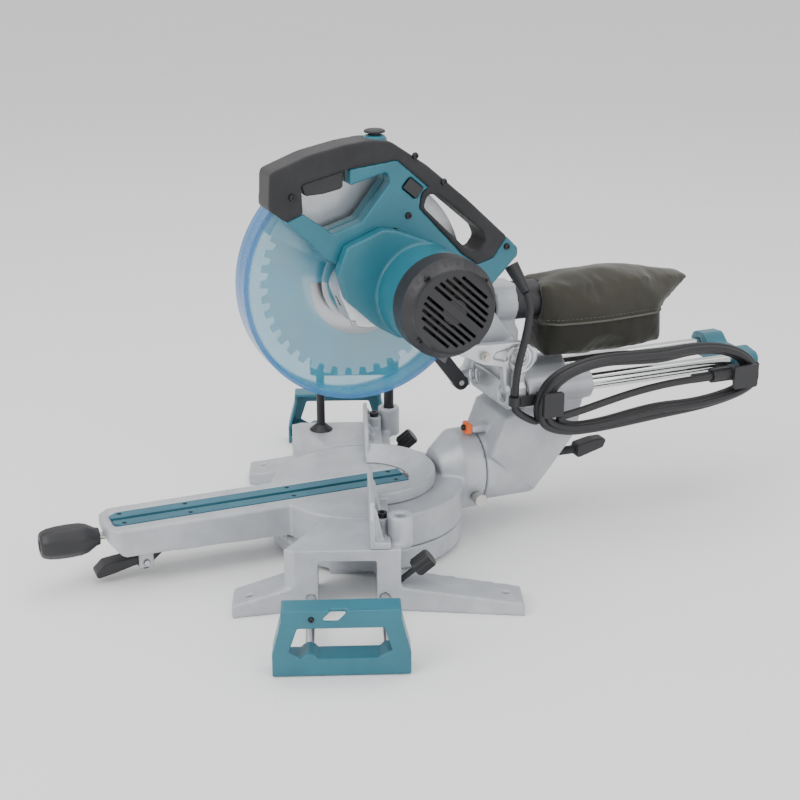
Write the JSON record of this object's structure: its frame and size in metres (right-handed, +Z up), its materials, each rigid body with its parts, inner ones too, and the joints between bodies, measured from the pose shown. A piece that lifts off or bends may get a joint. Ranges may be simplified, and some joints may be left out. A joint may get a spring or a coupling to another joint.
{
  "type": "mitre saw on stand",
  "caption": "Sliding compound mitre saw on its own four-footed cast base, with pull-out support wings, chopping and tilting head, retracting blade guard and dust bag.",
  "frame": {"origin": "on the mitre axis at floor level", "axes": "+Z up, operator stands at -Y facing +Y, +X is the operator's right; the turntable rests turned 20 degrees about +Z"},
  "size_m": [0.626, 0.8059, 0.464],
  "materials": {
    "grey_casting": "satin paint",
    "bright_casting": "satin",
    "black_plastic": "fine texture",
    "overmould": "soft matt",
    "teal_plastic": "satin",
    "board_plastic": "matt",
    "guard_plastic": "translucent",
    "steel": "brushed",
    "chrome_steel": "polished",
    "zinc": "zinc plated",
    "black_steel": "black oxide",
    "orange_plastic": "matt",
    "grey_plastic": "matt",
    "copper": "wound",
    "bag_fabric": "woven",
    "cord_rubber": "satin"
  },
  "bodies": {
    "base": {"base_casting": "grey_casting", "fence": "grey_casting", "base_bolts": "black_steel"},
    "left_wing": {"left_wing_frame": "teal_plastic", "left_wing_rods": "chrome_steel"},
    "right_wing": {"right_wing_frame": "teal_plastic", "right_wing_rods": "chrome_steel"},
    "left_wing_knob": {"left_wing_knob": "black_plastic"},
    "right_wing_knob": {"right_wing_knob": "black_plastic"},
    "vise": {"vise_clamp": "black_steel"},
    "vise_screw": {"vise_screw": "black_steel"},
    "turntable": {"turntable": "grey_casting", "kerf_boards": "board_plastic", "turntable_screws": "black_steel", "detent_spring": "steel", "turntable_pins": "steel", "bevel_pointer": "orange_plastic"},
    "mitre_grip": {"mitre_grip": "black_plastic"},
    "mitre_lever": {"mitre_lock_lever": "black_plastic"},
    "bevel_pin": {"bevel_release_pin": "zinc"},
    "bevel_lever": {"bevel_lock_lever": "black_plastic"},
    "bevel_arm": {"bevel_arm": "grey_casting", "linear_bearings": "steel"},
    "carriage": {"carriage": "bright_casting", "slide_poles": "chrome_steel", "pole_end_cap": "teal_plastic", "carriage_pins": "zinc", "cord_hooks": "black_plastic", "cord_lead": "cord_rubber", "cord_winding": "cord_rubber", "plug": "cord_rubber"},
    "guard_link": {"guard_link": "black_steel"},
    "head": {"head_arm": "grey_casting", "return_spring": "steel", "dust_nozzle": "black_plastic", "blade_case": "bright_casting", "gearbox": "bright_casting", "ball_bearings": "steel", "motor_housing": "teal_plastic", "motor_end_cap": "black_plastic", "motor_stator": "copper", "carbon_brushes": "black_plastic", "handle_grip": "overmould", "far_handle_shell": "teal_plastic", "near_handle_shell": "teal_plastic", "switch_block": "black_plastic", "strain_relief": "cord_rubber", "dust_chute": "grey_plastic"},
    "lower_guard": {"lower_guard": "guard_plastic"},
    "blade_set": {"saw_blade": "steel", "arbor": "steel", "blade_flanges": "zinc", "blade_bolt": "black_steel", "drive_gear": "steel"},
    "motor_rotor": {"armature": "copper", "cooling_fan": "black_plastic"},
    "trigger": {"trigger": "black_plastic"},
    "lock_off_button": {"lock_off_button": "black_plastic"},
    "rocker_switch": {"rocker_switch": "black_plastic"},
    "dust_bag": {"dust_bag": "bag_fabric"}
  },
  "joints": [
    {"name": "mitre", "type": "hinge", "parent": "base", "child": "turntable", "pos_m": [0, 0, 0.03], "axis": [0, 0, 1], "range_deg": [-67, 27]},
    {"name": "bevel", "type": "hinge", "parent": "turntable", "child": "bevel_arm", "pos_m": [-0.05472, 0.15035, 0.068], "axis": [-0.342, 0.9397, 0], "range_deg": [-45, 0]},
    {"name": "slide", "type": "slide", "parent": "bevel_arm", "child": "carriage", "axis": [0.342, -0.9397, 0], "range_m": [0, 0.185]},
    {"name": "chop", "type": "hinge", "parent": "carriage", "child": "head", "pos_m": [-0.05404, 0.14847, 0.208], "axis": [0.9397, 0.342, 0], "range_deg": [0, 42.2], "stiffness_Nm_per_rad": 8, "springref_deg": -91.67},
    {"name": "guard_retract", "type": "hinge", "parent": "head", "child": "lower_guard", "pos_m": [0.00308, -0.00846, 0.301], "axis": [0.9397, 0.342, 0], "range_deg": [-138, 0]},
    {"name": "guard_link_swing", "type": "hinge", "parent": "carriage", "child": "guard_link", "pos_m": [-0.07094, 0.1072, 0.158], "axis": [0.9397, 0.342, 0], "range_deg": [0, 51]},
    {"name": "blade_spin", "type": "hinge", "parent": "head", "child": "blade_set", "pos_m": [0.00308, -0.00846, 0.301], "axis": [0.9397, 0.342, 0], "continuous": true},
    {"name": "motor_spin", "type": "hinge", "parent": "head", "child": "motor_rotor", "pos_m": [-0.01265, 0.03477, 0.298], "axis": [0.9397, 0.342, 0], "continuous": true},
    {"name": "left_wing_slide", "type": "slide", "parent": "base", "child": "left_wing", "axis": [1, 0, 0], "range_m": [0, 0.09]},
    {"name": "right_wing_slide", "type": "slide", "parent": "base", "child": "right_wing", "axis": [-1, 0, 0], "range_m": [0, 0.09]},
    {"name": "left_knob_turn", "type": "hinge", "parent": "base", "child": "left_wing_knob", "pos_m": [-0.172, 0.0135, 0.015], "axis": [0, 0.766, 0.6428], "range_deg": [-180, 180]},
    {"name": "right_knob_turn", "type": "hinge", "parent": "base", "child": "right_wing_knob", "pos_m": [0.172, 0.0135, 0.015], "axis": [0, 0.766, 0.6428], "range_deg": [-180, 180]},
    {"name": "vise_swing", "type": "hinge", "parent": "base", "child": "vise", "pos_m": [-0.16, 0.03, 0.1], "axis": [0, 0, 1], "range_deg": [-15, 30]},
    {"name": "vise_screw_lift", "type": "slide", "parent": "vise", "child": "vise_screw", "axis": [0, 0, 1], "range_m": [0, 0.03]},
    {"name": "grip_turn", "type": "hinge", "parent": "turntable", "child": "mitre_grip", "pos_m": [0.11287, -0.3101, 0.052], "axis": [-0.342, 0.9397, 0], "range_deg": [-90, 90]},
    {"name": "mitre_lever_pull", "type": "hinge", "parent": "turntable", "child": "mitre_lever", "pos_m": [0.08756, -0.24056, 0.02], "axis": [0.9397, 0.342, 0], "range_deg": [-7, 0], "stiffness_Nm_per_rad": 0.3, "springref_deg": 17.19},
    {"name": "bevel_pin_pull", "type": "slide", "parent": "turntable", "child": "bevel_pin", "axis": [0.9397, 0.342, 0], "range_m": [0, 0.008]},
    {"name": "bevel_lever_turn", "type": "hinge", "parent": "turntable", "child": "bevel_lever", "pos_m": [-0.07011, 0.19264, 0.068], "axis": [-0.342, 0.9397, 0], "range_deg": [0, 35]},
    {"name": "trigger_pull", "type": "hinge", "parent": "head", "child": "trigger", "pos_m": [0.04819, -0.02715, 0.424], "axis": [0.9397, 0.342, 0], "range_deg": [-6, 0], "stiffness_Nm_per_rad": 0.4, "springref_deg": 11.46},
    {"name": "lock_off_press", "type": "slide", "parent": "head", "child": "lock_off_button", "axis": [0, 0, -1], "range_m": [0, 0.002], "stiffness_N_per_m": 400, "springref_m": -0.003},
    {"name": "rocker_press", "type": "hinge", "parent": "head", "child": "rocker_switch", "pos_m": [0.03792, 0.04786, 0.404], "axis": [-0.2198, 0.604, 0.766], "range_deg": [-4, 4]},
    {"name": "bag_pull_off", "type": "slide", "parent": "head", "child": "dust_bag", "axis": [-0.342, 0.9397, 0], "range_m": [0, 0.05]}
  ],
  "couplings": [
    {"joint": "guard_retract", "follows": "chop", "ratio": -3.25},
    {"joint": "guard_link_swing", "follows": "chop", "ratio": 1.2},
    {"joint": "motor_spin", "follows": "blade_spin", "ratio": -3}
  ]
}
